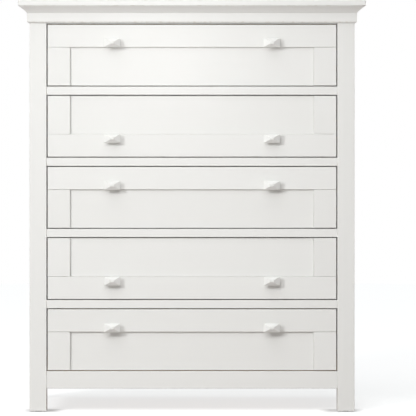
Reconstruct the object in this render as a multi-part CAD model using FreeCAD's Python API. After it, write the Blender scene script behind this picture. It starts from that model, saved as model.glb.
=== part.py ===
"""Tall chest of five inset drawers, modelled piece by piece in millimetres.

The front faces -Y, +X is the right-hand side seen from the front and +Z is up. The origin is on
the floor, under the middle of the top board. Every node is a set of closed solids, and each
solid is one board, moulding, runner, knob or fastener of the chest.
"""

import FreeCAD, Part

import os

from FreeCAD import Vector

# Overall size
TOP_WIDTH = 1016.0
TOP_DEPTH = 508.0
TOTAL_HEIGHT = 1204.0

# Top board and the mouldings under it
TOP_THICKNESS = 16.0
TOP_OVERHANG = 32.0
TOP_EDGE_RADIUS = 2.5
CROWN_HEIGHT = 20.0
CROWN_SETBACK = 3.0
CROWN_FILLET = 1.0
CROWN_HOLLOW = 1.4
FRIEZE_HEIGHT = 29.0
FRIEZE_PROUD = 7.0
FRIEZE_RADIUS = 6.0

# Carcass
LEG_WIDTH = 50.0
REAR_LEG_THICKNESS = 25.0
LEG_EDGE_RADIUS = 1.6
GLIDE_THICKNESS = 2.5
GLIDE_RADIUS = 11.0
FLOOR_CLEARANCE = 68.0
BOTTOM_RAIL_HEIGHT = 51.0
DIVIDER_HEIGHT = 24.5
DIVIDER_DEPTH = 45.0
RAIL_THICKNESS = 20.0
FACE_SETBACK = 1.5
SIDE_RAIL_HEIGHT = 66.0
SIDE_PANEL_THICKNESS = 9.0
SIDE_PANEL_RECESS = 7.0
SIDE_PANEL_TONGUE = 8.0
BACK_PANEL_THICKNESS = 6.0
BACK_PANEL_RECESS = 2.0
BACK_PANEL_TOP_MARGIN = 40.0
ARRIS = 0.7

# Drawers
DRAWER_COUNT = 5
OPENING_HEIGHT = 184.0
SIDE_REVEAL = 3.0
EDGE_REVEAL = 2.75
FRONT_THICKNESS = 20.0
FRAME_MEMBER = 66.0
PANEL_RECESS = 6.0
PANEL_THICKNESS = 8.0
PANEL_TONGUE = 8.0
BOX_LENGTH = 410.0
BOX_BOARD = 12.0
BOX_BASE_GAP = 8.0
BOX_HEIGHT = 152.0
BOTTOM_THICKNESS = 6.0
BOTTOM_LIFT = 10.0
BOTTOM_TONGUE = 5.0
TAIL_COUNT = 4
TAIL_FLARE = 2.5
TAIL_SHARE = 0.62

# Knobs
KNOB_SPACING = 467.0
KNOB_FROM_EDGE = 53.5
KNOB_WIDTH = 47.0
KNOB_HEIGHT = 26.0
KNOB_STEM_LENGTH = 14.0
KNOB_RIM = 3.0
KNOB_FACE_RISE = 10.5
KNOB_STEM_SCALE = 0.5
KNOB_TIP_SCALE = 0.2

# Ball-bearing runners, one pair to a drawer
RUNNER_LENGTH = 400.0
RUNNER_SPACE = 12.7
RUNNER_SHEET = 1.2
RUNNER_HEIGHTS = (45.0, 36.0, 26.0)
RUNNER_FLANGES = (9.0, 7.0, 5.5)
RUNNER_MIDDLE_OFFSET = 4.0
RUNNER_FRONT_GAP = 6.0
CLEAT_HEIGHT = 60.0

# Fasteners: shank radius, head radius, head thickness
KNOB_SCREW = (2.0, 4.5, 2.2)
WOOD_SCREW = (2.0, 4.0, 2.0)
SMALL_SCREW = (1.6, 3.2, 1.2)
SCREW_HEAD_TAPER = 0.72
HOLE_CLEARANCE = 0.2
SMALL_SCREW_LENGTH = 9.0
BACK_SCREW_LENGTH = 20.0
FRONT_SCREW_LENGTH = 26.0
KNOB_SCREW_INTO_KNOB = 9.0
CORNER_BLOCK_HEIGHT = 22.0
CORNER_BLOCK_LEG = 66.0
CORNER_SCREW_LENGTH = 32.0
BACK_SCREWS_PER_RAIL = 5

# Holes in the back rail for a wall strap
STRAP_HOLE_RADIUS = 2.5
STRAP_HOLE_SPACING = 64.0
STRAP_HOLE_DROP = 20.0

# Places worked out from the sizes above
FRONT_Y = -TOP_DEPTH / 2 + TOP_OVERHANG
FACE_Y = FRONT_Y + FACE_SETBACK
REAR_Y = TOP_DEPTH / 2
CASE_X = TOP_WIDTH / 2 - TOP_OVERHANG
OPENING_X = CASE_X - LEG_WIDTH
REAR_LEG_X = CASE_X - REAR_LEG_THICKNESS
TOP_Z = TOTAL_HEIGHT - TOP_THICKNESS
CROWN_Z = TOP_Z - CROWN_HEIGHT
FRIEZE_Z = CROWN_Z - FRIEZE_HEIGHT
BOTTOM_RAIL_TOP = FLOOR_CLEARANCE + BOTTOM_RAIL_HEIGHT
PITCH = OPENING_HEIGHT + DIVIDER_HEIGHT
FRONT_BACK_Y = FACE_Y + FRONT_THICKNESS
BACK_PANEL_Y = REAR_Y - BACK_PANEL_RECESS - BACK_PANEL_THICKNESS
BACK_RAIL_Y = BACK_PANEL_Y - RAIL_THICKNESS
FRONT_LEG_BACK_Y = FRONT_Y + LEG_WIDTH
REAR_LEG_FRONT_Y = REAR_Y - LEG_WIDTH
BOX_X = OPENING_X - RUNNER_SPACE
BOX_BACK_Y = FRONT_BACK_Y + BOX_LENGTH
RUNNER_Y = FRONT_BACK_Y + RUNNER_FRONT_GAP
RUNNER_LIFT = BOX_BASE_GAP + BOX_HEIGHT / 2
FRONT_HALF_WIDTH = OPENING_X - SIDE_REVEAL
FRONT_HEIGHT = OPENING_HEIGHT - 2 * EDGE_REVEAL
BACK_RAIL_HEIGHT = 66.0


def opening_z(number):
    """Height of the lower edge of a drawer opening, where drawer 1 is at the top."""
    return BOTTOM_RAIL_TOP + (DRAWER_COUNT - number) * PITCH


def box(x_range, y_range, z_range):
    """A box that spans three ranges, each given as (low, high)."""
    low, high = zip(x_range, y_range, z_range)
    size = [b - a for a, b in zip(low, high)]
    return Part.makeBox(*size, Vector(*low))


def mirrored(shape):
    """The same piece on the other side of the chest."""
    return shape.mirror(Vector(0, 0, 0), Vector(1, 0, 0))


def both_sides(shape):
    """A piece and its mirror image, left one first."""
    return [shape, mirrored(shape)]


def rod(start, direction, length, radius):
    """A round bar from a point along a direction."""
    return Part.makeCylinder(radius, length, Vector(*start), Vector(*direction))


def edges_where(solid, rule):
    """Straight edges of a solid whose two end points both satisfy a rule."""
    return [e for e in solid.Edges if all(rule(v.Point) for v in e.Vertexes)]


def at(value, target):
    """True if a coordinate lies on a target value."""
    return abs(value - target) < 1e-6


def front_arrises(solid):
    """Takes the sharpness off the edges round a solid's front face."""
    face_y = solid.BoundBox.YMin
    return solid.makeChamfer(ARRIS, edges_where(solid, lambda p: at(p.y, face_y)))


def prism(points, direction):
    """A solid made by pushing a closed outline along a direction."""
    outline = [Vector(*p) for p in points]
    return Part.Face(Part.makePolygon(outline + outline[:1])).extrude(Vector(*direction))


def screw(head_point, direction, length, sizes):
    """A screw whose head stands on a surface at head_point and whose shank goes along direction."""
    shank_radius, head_radius, head_thickness = sizes
    inward = Vector(*direction)
    base = Vector(*head_point)
    crown = base - inward * head_thickness
    head = Part.makeCone(head_radius * SCREW_HEAD_TAPER, head_radius, head_thickness, crown, inward)
    shank = Part.makeCylinder(shank_radius, length, base, inward)
    return head.fuse(shank).removeSplitter()


def screw_hole(head_point, direction, length, sizes):
    """The hole that a screw passes through or bites into."""
    return rod(head_point, direction, length + 1.0, sizes[0] + HOLE_CLEARANCE)


# ---------------------------------------------------------------- top and mouldings


def top_board():
    """The flat top, with softened edges all round except at the back."""
    board = box((-TOP_WIDTH / 2, TOP_WIDTH / 2), (-TOP_DEPTH / 2, REAR_Y), (TOP_Z, TOTAL_HEIGHT))
    back = edges_where(board, lambda p: at(p.y, REAR_Y))
    exposed = [e for e in board.Edges if not any(e.isSame(b) for b in back)]
    return board.makeFillet(TOP_EDGE_RADIUS, exposed)


def profile_face(outline, place):
    """A face from outline pieces, each a list of two points (line) or three points (arc)."""
    edges = []
    for piece in outline:
        points = [place(*p) for p in piece]
        curve = Part.Arc(*points) if len(points) == 3 else Part.LineSegment(*points)
        edges.append(curve.toShape())
    return Part.Face(Part.Wire(edges))


def crown_outline():
    """The crown in (outward, up): a shallow cove that leans out to a narrow upright lip."""
    foot = Vector(FRIEZE_PROUD, 0)
    lip = Vector(TOP_OVERHANG - CROWN_SETBACK, CROWN_HEIGHT - CROWN_FILLET)
    chord = (lip - foot).normalize()
    deepest = (foot + lip) / 2 + Vector(-chord.y, chord.x) * CROWN_HOLLOW
    return [
        [(0, 0), (foot.x, foot.y)],
        [(foot.x, foot.y), (deepest.x, deepest.y), (lip.x, lip.y)],
        [(lip.x, lip.y), (lip.x, CROWN_HEIGHT)],
        [(lip.x, CROWN_HEIGHT), (0, CROWN_HEIGHT)],
        [(0, CROWN_HEIGHT), (0, 0)],
    ]


def frieze_outline():
    """The frieze in (outward, up): a flat band whose lower outer edge is a quarter round."""
    bend = FRIEZE_RADIUS * (1 - 0.5 ** 0.5)
    inner = FRIEZE_PROUD - FRIEZE_RADIUS
    return [
        [(0, 0), (inner, 0)],
        [(inner, 0), (FRIEZE_PROUD - bend, bend), (FRIEZE_PROUD, FRIEZE_RADIUS)],
        [(FRIEZE_PROUD, FRIEZE_RADIUS), (FRIEZE_PROUD, FRIEZE_HEIGHT)],
        [(FRIEZE_PROUD, FRIEZE_HEIGHT), (0, FRIEZE_HEIGHT)],
        [(0, FRIEZE_HEIGHT), (0, 0)],
    ]


def mitred_set(outline, low_z, height):
    """A front length and two side lengths of one moulding, mitred at the front corners."""
    reach = 2 * TOP_OVERHANG
    front_plan = prism(
        [
            (-CASE_X, FRONT_Y, low_z),
            (CASE_X, FRONT_Y, low_z),
            (CASE_X + reach, FRONT_Y - reach, low_z),
            (-CASE_X - reach, FRONT_Y - reach, low_z),
        ],
        (0, 0, height),
    )
    side_plan = prism(
        [
            (-CASE_X, FRONT_Y, low_z),
            (-CASE_X - reach, FRONT_Y - reach, low_z),
            (-CASE_X - reach, REAR_Y, low_z),
            (-CASE_X, REAR_Y, low_z),
        ],
        (0, 0, height),
    )
    start_x = -CASE_X - reach
    front_face = profile_face(outline, lambda out, up: Vector(start_x, FRONT_Y - out, low_z + up))
    front = front_face.extrude(Vector(-2 * start_x, 0, 0)).common(front_plan)
    side_face = profile_face(outline, lambda out, up: Vector(-CASE_X - out, REAR_Y, low_z + up))
    side = side_face.extrude(Vector(0, FRONT_Y - reach - REAR_Y, 0)).common(side_plan)
    return [front, *both_sides(side)]


# ---------------------------------------------------------------- carcass


def upright(x_range, y_range):
    """A leg that runs from its floor glide to the top board, with softened vertical edges."""
    leg = box(x_range, y_range, (GLIDE_THICKNESS, TOP_Z))
    vertical = [e for e in leg.Edges if not at(e.Vertexes[0].Z, e.Vertexes[1].Z)]
    return leg.makeFillet(LEG_EDGE_RADIUS, vertical)


def front_leg():
    """Left front leg, square in section, grooved at the back for the side panel."""
    leg = upright((-CASE_X, -OPENING_X), (FRONT_Y, FRONT_LEG_BACK_Y))
    return leg.cut(side_groove(FRONT_LEG_BACK_Y - SIDE_PANEL_TONGUE, FRONT_LEG_BACK_Y))


def rear_leg():
    """Left rear leg, thinner than the front one, grooved for the side panel."""
    leg = upright((-CASE_X, -REAR_LEG_X), (REAR_LEG_FRONT_Y, REAR_Y))
    return leg.cut(side_groove(REAR_LEG_FRONT_Y, REAR_LEG_FRONT_Y + SIDE_PANEL_TONGUE))


def side_panel_x():
    """Span of the left side panel's thickness."""
    outer = -CASE_X + SIDE_PANEL_RECESS
    return outer, outer + SIDE_PANEL_THICKNESS


def side_panel_z():
    """Span of the side panel's height, tongues included."""
    low = FLOOR_CLEARANCE + SIDE_RAIL_HEIGHT - SIDE_PANEL_TONGUE
    high = FRIEZE_Z - SIDE_RAIL_HEIGHT + SIDE_PANEL_TONGUE
    return low, high


def side_groove(y_low, y_high):
    """Groove in a leg that the left side panel's tongue fills."""
    return box(side_panel_x(), (y_low, y_high), side_panel_z())


def side_panel():
    """Left side panel, held in the grooves of two legs and two rails."""
    y_range = (FRONT_LEG_BACK_Y - SIDE_PANEL_TONGUE, REAR_LEG_FRONT_Y + SIDE_PANEL_TONGUE)
    return box(side_panel_x(), y_range, side_panel_z())


def side_rails():
    """Upper and lower rail of the left side, with the panel's tongues let into them."""
    x_range = (-CASE_X + 1.0, -REAR_LEG_X)
    y_range = (FRONT_LEG_BACK_Y, REAR_LEG_FRONT_Y)
    lower = box(x_range, y_range, (FLOOR_CLEARANCE, FLOOR_CLEARANCE + SIDE_RAIL_HEIGHT))
    upper = box(x_range, y_range, (FRIEZE_Z - SIDE_RAIL_HEIGHT, TOP_Z))
    return [
        rail.makeChamfer(ARRIS, edges_where(rail, lambda p: at(p.x, x_range[0]))).cut(side_panel())
        for rail in (lower, upper)
    ]


def cross_rail(z_range, depth, face_y=FACE_Y):
    """A front rail between the legs, with the front edges softened."""
    return front_arrises(box((-OPENING_X, OPENING_X), (face_y, face_y + depth), z_range))


def dividers():
    """The four rails between the drawer openings."""
    made = []
    for number in range(1, DRAWER_COUNT):
        low = opening_z(number) - DIVIDER_HEIGHT
        made.append(cross_rail((low, low + DIVIDER_HEIGHT), DIVIDER_DEPTH))
    return made


def back_rails():
    """Upper and lower rail behind the drawers, which carry the back panel."""
    x_range = (-REAR_LEG_X, REAR_LEG_X)
    y_range = (BACK_RAIL_Y, BACK_PANEL_Y)
    lower = box(x_range, y_range, (FLOOR_CLEARANCE, FLOOR_CLEARANCE + BACK_RAIL_HEIGHT))
    upper = box(x_range, y_range, (TOP_Z - BACK_RAIL_HEIGHT, TOP_Z))
    for x in (-STRAP_HOLE_SPACING / 2, STRAP_HOLE_SPACING / 2):
        start = (x, BACK_RAIL_Y - 1, TOP_Z - STRAP_HOLE_DROP)
        upper = upper.cut(rod(start, (0, 1, 0), RAIL_THICKNESS + 2, STRAP_HOLE_RADIUS))
    return [lower, upper]


def back_panel():
    """Thin panel that closes the back, between the rear legs and below the strap holes."""
    z_range = (FLOOR_CLEARANCE, TOP_Z - BACK_PANEL_TOP_MARGIN)
    y_range = (BACK_PANEL_Y, BACK_PANEL_Y + BACK_PANEL_THICKNESS)
    return box((-REAR_LEG_X, REAR_LEG_X), y_range, z_range)


def back_screw_points():
    """Where the back panel's screws stand, in its rear face."""
    y = BACK_PANEL_Y + BACK_PANEL_THICKNESS
    span = 2 * (REAR_LEG_X - 40.0)
    lower = FLOOR_CLEARANCE + BACK_RAIL_HEIGHT / 2
    upper = TOP_Z - BACK_RAIL_HEIGHT + (BACK_RAIL_HEIGHT - BACK_PANEL_TOP_MARGIN) / 2
    step = span / (BACK_SCREWS_PER_RAIL - 1)
    return [(-span / 2 + i * step, y, z) for z in (lower, upper) for i in range(BACK_SCREWS_PER_RAIL)]


def cleat(number):
    """Left bearer that carries the runner of one drawer between the legs."""
    middle = opening_z(number) + RUNNER_LIFT
    z_range = (middle - CLEAT_HEIGHT / 2, middle + CLEAT_HEIGHT / 2)
    return box((-REAR_LEG_X, -OPENING_X), (FRONT_LEG_BACK_Y, BACK_RAIL_Y), z_range)


def corner_blocks():
    """Triangular blocks under the top: two at the front on the left side, front one first."""
    low_z = TOP_Z - CORNER_BLOCK_HEIGHT
    front = prism(
        [
            (-OPENING_X, FRONT_Y + RAIL_THICKNESS, low_z),
            (-OPENING_X + CORNER_BLOCK_LEG, FRONT_Y + RAIL_THICKNESS, low_z),
            (-OPENING_X, FRONT_Y + RAIL_THICKNESS + CORNER_BLOCK_LEG, low_z),
        ],
        (0, 0, CORNER_BLOCK_HEIGHT),
    )
    rear = prism(
        [
            (-REAR_LEG_X, BACK_RAIL_Y, low_z),
            (-REAR_LEG_X, BACK_RAIL_Y - CORNER_BLOCK_LEG, low_z),
            (-REAR_LEG_X + CORNER_BLOCK_LEG, BACK_RAIL_Y, low_z),
        ],
        (0, 0, CORNER_BLOCK_HEIGHT),
    )
    return [front, rear]


def corner_screw_points():
    """Where the screws stand in the undersides of the left corner blocks."""
    inset = CORNER_BLOCK_LEG * 0.3
    low_z = TOP_Z - CORNER_BLOCK_HEIGHT
    return [
        (-OPENING_X + inset, FRONT_Y + RAIL_THICKNESS + inset, low_z),
        (-REAR_LEG_X + inset, BACK_RAIL_Y - inset, low_z),
    ]


def glide(x, y):
    """A round pad under a leg."""
    return rod((x, y, 0), (0, 0, 1), GLIDE_THICKNESS, GLIDE_RADIUS)


# ---------------------------------------------------------------- runners


def channel(web_x, opens, height, flange, z_middle, y_range):
    """A C-shaped runner member whose web's outer face is at web_x and which opens along X."""
    low, high = z_middle - height / 2, z_middle + height / 2
    web_end = web_x + opens * RUNNER_SHEET
    tip = web_x + opens * flange
    outline = [
        (web_x, low),
        (tip, low),
        (tip, low + RUNNER_SHEET),
        (web_end, low + RUNNER_SHEET),
        (web_end, high - RUNNER_SHEET),
        (tip, high - RUNNER_SHEET),
        (tip, high),
        (web_x, high),
    ]
    points = [(x, y_range[0], z) for x, z in outline]
    return prism(points, (0, y_range[1] - y_range[0], 0))


def runner_members(number):
    """Left runner of one drawer, as its case member, middle member and drawer member."""
    middle = opening_z(number) + RUNNER_LIFT
    y_range = (RUNNER_Y, RUNNER_Y + RUNNER_LENGTH)
    tall, medium, small = RUNNER_HEIGHTS
    case_member = channel(-OPENING_X, 1, tall, RUNNER_FLANGES[0], middle, y_range)
    middle_x = -OPENING_X + RUNNER_MIDDLE_OFFSET
    middle_member = channel(middle_x, 1, medium, RUNNER_FLANGES[1], middle, y_range)
    drawer_member = channel(-BOX_X, -1, small, RUNNER_FLANGES[2], middle, y_range)
    return case_member, middle_member, drawer_member


def runner_screw_ys():
    """Places of a runner member's screws along its length."""
    return [RUNNER_Y + 35.0, RUNNER_Y + RUNNER_LENGTH - 60.0]


def case_runner_screws(number):
    """Head points of the screws that hold the left case member."""
    middle = opening_z(number) + RUNNER_LIFT
    return [(-OPENING_X + RUNNER_SHEET, y, middle) for y in runner_screw_ys()]


def drawer_runner_screws(number):
    """Head points of the screws that hold the left drawer member."""
    middle = opening_z(number) + RUNNER_LIFT
    return [(-BOX_X - RUNNER_SHEET, y, middle) for y in runner_screw_ys()]


# ---------------------------------------------------------------- drawers


def rail_is_on_top(number):
    """Drawers 1, 3 and 5 have their rail along the top edge, drawers 2 and 4 along the bottom."""
    return number % 2 == 1


def knob_points(number):
    """Where the two knobs stand on a drawer front."""
    low = opening_z(number) + EDGE_REVEAL
    z = low + FRONT_HEIGHT - KNOB_FROM_EDGE if rail_is_on_top(number) else low + KNOB_FROM_EDGE
    return [(side * KNOB_SPACING / 2, FACE_Y, z) for side in (-1, 1)]


def front_panel(number):
    """The recessed panel, tongued into the rail and both stiles and free along one edge."""
    low = opening_z(number) + EDGE_REVEAL
    half = FRONT_HALF_WIDTH - FRAME_MEMBER + PANEL_TONGUE
    reach = FRONT_HEIGHT - FRAME_MEMBER + PANEL_TONGUE
    if not rail_is_on_top(number):
        low += FRONT_HEIGHT - reach
    z_range = (low, low + reach)
    face_y = FACE_Y + PANEL_RECESS
    return box((-half, half), (face_y, face_y + PANEL_THICKNESS), z_range)


def front_frame(number):
    """One rail and two stiles. The stiles have stub tenons in the rail's groove."""
    low = opening_z(number) + EDGE_REVEAL
    high = low + FRONT_HEIGHT
    y_range = (FACE_Y, FRONT_BACK_Y)
    tenon_y = (FACE_Y + PANEL_RECESS, FACE_Y + PANEL_RECESS + PANEL_THICKNESS)
    stile_x = (-FRONT_HALF_WIDTH, -FRONT_HALF_WIDTH + FRAME_MEMBER)
    if rail_is_on_top(number):
        rail_z = (high - FRAME_MEMBER, high)
        stile_z = (low, high - FRAME_MEMBER)
        tenon_z = (high - FRAME_MEMBER, high - FRAME_MEMBER + PANEL_TONGUE)
    else:
        rail_z = (low, low + FRAME_MEMBER)
        stile_z = (low + FRAME_MEMBER, high)
        tenon_z = (low + FRAME_MEMBER - PANEL_TONGUE, low + FRAME_MEMBER)
    groove = box((-FRONT_HALF_WIDTH, FRONT_HALF_WIDTH), tenon_y, tenon_z)
    rail = front_arrises(box((-FRONT_HALF_WIDTH, FRONT_HALF_WIDTH), y_range, rail_z)).cut(groove)
    panel = front_panel(number)
    stile = front_arrises(box(stile_x, y_range, stile_z))
    stile = stile.fuse(box(stile_x, tenon_y, tenon_z)).cut(panel).removeSplitter()
    return [rail, *both_sides(stile)]


def corner_tails(corner_x, y_range, outward, low_z):
    """The dovetail tails of one box corner. They widen along Y towards the end of the side board."""
    step = BOX_HEIGHT / TAIL_COUNT
    wide = step * TAIL_SHARE
    narrow = wide - 2 * TAIL_FLARE
    inner_y, end_y = (y_range[1], y_range[0]) if outward < 0 else (y_range[0], y_range[1])
    tails = []
    for i in range(TAIL_COUNT):
        middle = low_z + step * (i + 0.5)
        outline = [
            (corner_x[0], inner_y, middle - narrow / 2),
            (corner_x[0], end_y, middle - wide / 2),
            (corner_x[0], end_y, middle + wide / 2),
            (corner_x[0], inner_y, middle + narrow / 2),
        ]
        tails.append(prism(outline, (corner_x[1] - corner_x[0], 0, 0)))
    return tails


def drawer_box(number):
    """Two sides, an inner front and a back, joined at the corners by through dovetails."""
    low = opening_z(number) + BOX_BASE_GAP
    z_range = (low, low + BOX_HEIGHT)
    corner_x = (-BOX_X, -BOX_X + BOX_BOARD)
    front_y = (FRONT_BACK_Y, FRONT_BACK_Y + BOX_BOARD)
    back_y = (BOX_BACK_Y - BOX_BOARD, BOX_BACK_Y)
    side = box(corner_x, (FRONT_BACK_Y, BOX_BACK_Y), z_range)
    ends = []
    for y_range, outward in ((front_y, -1), (back_y, 1)):
        tails = corner_tails(corner_x, y_range, outward, low)
        pins = box(corner_x, y_range, z_range).cut(tails)
        side = side.cut(pins)
        ends.append(box((-BOX_X, BOX_X), y_range, z_range).cut(tails + [mirrored(t) for t in tails]))
    panel = drawer_bottom(number)
    return [piece.cut(panel) for piece in (*both_sides(side), *ends)]


def drawer_bottom(number):
    """The drawer's bottom, in a groove round the inside of the box."""
    low = opening_z(number) + BOX_BASE_GAP + BOTTOM_LIFT
    inset = BOX_BOARD - BOTTOM_TONGUE
    y_range = (FRONT_BACK_Y + inset, BOX_BACK_Y - inset)
    return box((-BOX_X + inset, BOX_X - inset), y_range, (low, low + BOTTOM_THICKNESS))


def knob(point):
    """A knob: a flared stem, a straight rim and a low pyramid face with a small flat tip."""
    x, y, z = point
    sections = [
        (0.0, KNOB_STEM_SCALE),
        (KNOB_STEM_LENGTH, 1.0),
        (KNOB_STEM_LENGTH + KNOB_RIM, 1.0),
        (KNOB_STEM_LENGTH + KNOB_RIM + KNOB_FACE_RISE, KNOB_TIP_SCALE),
    ]
    solids = []
    for (near, near_scale), (far, far_scale) in zip(sections, sections[1:]):
        outlines = []
        for distance, scale in ((near, near_scale), (far, far_scale)):
            half_w, half_h = KNOB_WIDTH * scale / 2, KNOB_HEIGHT * scale / 2
            corners = [(-half_w, -half_h), (half_w, -half_h), (half_w, half_h), (-half_w, half_h)]
            points = [Vector(x + a, y - distance, z + b) for a, b in corners]
            outlines.append(Part.makePolygon(points + points[:1]))
        solids.append(Part.makeLoft(outlines, True, True))
    return solids[0].multiFuse(solids[1:]).removeSplitter()


def knob_screw_heads(number):
    """Head points of the knob screws, on the inside of the box."""
    inside = FRONT_BACK_Y + BOX_BOARD
    return [(x, inside, z) for x, _, z in knob_points(number)]


def knob_screw_length():
    """A knob screw passes the inner front and the rail, and ends in the knob's stem."""
    return BOX_BOARD + FRONT_THICKNESS + KNOB_SCREW_INTO_KNOB


def front_screw_heads(number):
    """Head points of the four screws that hold the decorative front to the box."""
    low = opening_z(number) + BOX_BASE_GAP
    middle_of_stile = FRONT_HALF_WIDTH - FRAME_MEMBER / 2
    inside = FRONT_BACK_Y + BOX_BOARD
    heights = (low + 45.0, low + BOX_HEIGHT - 45.0)
    return [(side * middle_of_stile, inside, z) for side in (-1, 1) for z in heights]


def drawer_fasteners(number):
    """Every screw of one drawer as (head point, direction, length, sizes)."""
    fasteners = [(p, (0, -1, 0), knob_screw_length(), KNOB_SCREW) for p in knob_screw_heads(number)]
    fasteners += [(p, (0, -1, 0), FRONT_SCREW_LENGTH, WOOD_SCREW) for p in front_screw_heads(number)]
    for point in drawer_runner_screws(number):
        fasteners.append((point, (1, 0, 0), SMALL_SCREW_LENGTH, SMALL_SCREW))
        opposite = (-point[0], point[1], point[2])
        fasteners.append((opposite, (-1, 0, 0), SMALL_SCREW_LENGTH, SMALL_SCREW))
    return fasteners


def case_fasteners():
    """Every screw of the case as (head point, direction, length, sizes)."""
    fasteners = [(p, (0, -1, 0), BACK_SCREW_LENGTH, SMALL_SCREW) for p in back_screw_points()]
    for point in corner_screw_points():
        for side in (1, -1):
            place = (side * point[0], point[1], point[2])
            fasteners.append((place, (0, 0, 1), CORNER_SCREW_LENGTH, WOOD_SCREW))
    for number in range(1, DRAWER_COUNT + 1):
        for point in case_runner_screws(number):
            fasteners.append((point, (-1, 0, 0), SMALL_SCREW_LENGTH, SMALL_SCREW))
            opposite = (-point[0], point[1], point[2])
            fasteners.append((opposite, (1, 0, 0), SMALL_SCREW_LENGTH, SMALL_SCREW))
    return fasteners


def drilled(pieces, fasteners):
    """The pieces with a hole for each screw that reaches them."""
    holes = [screw_hole(_behind_head(f), *f[1:]) for f in fasteners]
    result = []
    for piece in pieces:
        near = [h for h in holes if h.BoundBox.intersect(piece.BoundBox)]
        result.append(piece.cut(near) if near else piece)
    return result


def _behind_head(fastener):
    """The head point moved half a millimetre out, so that its hole opens the surface cleanly."""
    point, direction = fastener[:2]
    return tuple(p - 0.5 * d for p, d in zip(point, direction))


# ---------------------------------------------------------------- assembly


def case_nodes():
    """Every node that stays still."""
    fasteners = case_fasteners()
    legs = {"front_leg": front_leg(), "rear_leg": rear_leg()}
    rear_glide_x = (CASE_X + REAR_LEG_X) / 2
    front_glide_x = (CASE_X + OPENING_X) / 2
    glides = [
        glide(side * x, y)
        for x, y in (
            (front_glide_x, (FRONT_Y + FRONT_LEG_BACK_Y) / 2),
            (rear_glide_x, (REAR_Y + REAR_LEG_FRONT_Y) / 2),
        )
        for side in (-1, 1)
    ]
    numbers = range(1, DRAWER_COUNT + 1)
    top_rail_z = (opening_z(1) + OPENING_HEIGHT, TOP_Z)
    blocks = [b for block in corner_blocks() for b in both_sides(block)]
    case_members = [m for n in numbers for m in both_sides(runner_members(n)[0])]
    nodes = {
        "top_board": drilled([top_board()], fasteners),
        "crown_moulding": mitred_set(crown_outline(), CROWN_Z, CROWN_HEIGHT),
        "frieze_moulding": mitred_set(frieze_outline(), FRIEZE_Z, FRIEZE_HEIGHT),
        "side_rails": [r for rail in side_rails() for r in both_sides(rail)],
        "top_rail": [cross_rail(top_rail_z, RAIL_THICKNESS, FRONT_Y)],
        "drawer_dividers": dividers(),
        "bottom_rail": [cross_rail((FLOOR_CLEARANCE, BOTTOM_RAIL_TOP), RAIL_THICKNESS)],
        "back_panel": drilled([back_panel()], fasteners),
        "back_rails": drilled(back_rails(), fasteners),
        "runner_cleats": drilled([c for n in numbers for c in both_sides(cleat(n))], fasteners),
        "runner_case_members": drilled(case_members, fasteners),
        "corner_blocks": drilled(blocks, fasteners),
        "case_screws": [screw(*f) for f in fasteners],
        "floor_glides": glides,
    }
    for name, leg in legs.items():
        left, right = drilled(both_sides(leg), fasteners)
        nodes[name + "_left"] = [left]
        nodes[name + "_right"] = [right]
    nodes["side_panel_left"], nodes["side_panel_right"] = ([p] for p in both_sides(side_panel()))
    return nodes


def drawer_nodes(number):
    """Every node that moves with one drawer, and the middle members that follow it."""
    fasteners = drawer_fasteners(number)
    _, middle_member, drawer_member = runner_members(number)
    name = f"drawer_{number}_"
    return {
        name + "front_frame": drilled(front_frame(number), fasteners),
        name + "front_panel": [front_panel(number)],
        name + "box": drilled(drawer_box(number), fasteners),
        name + "bottom": [drawer_bottom(number)],
        name + "knobs": drilled([knob(p) for p in knob_points(number)], fasteners),
        name + "screws": [screw(*f) for f in fasteners],
        name + "runner_members": drilled(both_sides(drawer_member), fasteners),
        f"runner_{number}_middle_members": both_sides(middle_member),
    }


def main():
    """Builds every node and writes it to parts/NODE.step."""
    nodes = case_nodes()
    for number in range(1, DRAWER_COUNT + 1):
        nodes.update(drawer_nodes(number))
    os.makedirs("parts", exist_ok=True)
    for name, solids in sorted(nodes.items()):
        shape = Part.makeCompound([s for piece in solids for s in piece.Solids])
        if not shape.isValid():
            raise ValueError(f"{name} is not a valid shape")
        shape.exportStep(os.path.join("parts", name + ".step"))
    print(len(nodes), "nodes,", sum(len(p) for p in nodes.values()), "pieces")


main()
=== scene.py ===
"""A tall chest of five inset drawers in satin white paint, standing in a plain pale studio.

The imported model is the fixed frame. Its boards are copied, taken apart and given eased arrises and
a finish of their own. Knobs, runners, bearing balls, screws and floor glides are modelled here.
"""

import logging
import math
import random
from collections import Counter
from dataclasses import dataclass, field
from enum import Enum
from typing import Callable, Optional, Sequence, Union

import bpy
from mathutils import Matrix, Vector


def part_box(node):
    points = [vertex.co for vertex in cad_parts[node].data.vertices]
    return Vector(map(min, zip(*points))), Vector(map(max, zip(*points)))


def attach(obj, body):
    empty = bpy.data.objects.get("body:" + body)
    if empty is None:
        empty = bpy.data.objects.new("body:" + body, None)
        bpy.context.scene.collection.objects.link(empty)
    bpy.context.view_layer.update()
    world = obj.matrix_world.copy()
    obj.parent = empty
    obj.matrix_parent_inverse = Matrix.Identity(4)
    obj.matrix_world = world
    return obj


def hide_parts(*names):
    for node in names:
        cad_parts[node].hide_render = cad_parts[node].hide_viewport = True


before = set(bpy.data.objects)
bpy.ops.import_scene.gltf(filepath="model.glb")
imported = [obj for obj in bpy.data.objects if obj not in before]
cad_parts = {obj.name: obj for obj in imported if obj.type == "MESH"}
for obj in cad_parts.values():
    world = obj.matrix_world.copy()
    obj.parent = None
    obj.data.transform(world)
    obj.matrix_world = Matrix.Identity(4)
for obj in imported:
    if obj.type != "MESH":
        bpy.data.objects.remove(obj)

LOG = logging.getLogger("chest")
EXACT = 1e-6  # metres within which two places are the same
NEAR = 1e-5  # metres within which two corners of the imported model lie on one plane
FACING = 0.9  # the part of a face's normal along an axis, past which it faces that way
SIDES = ("left", "right")

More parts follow.
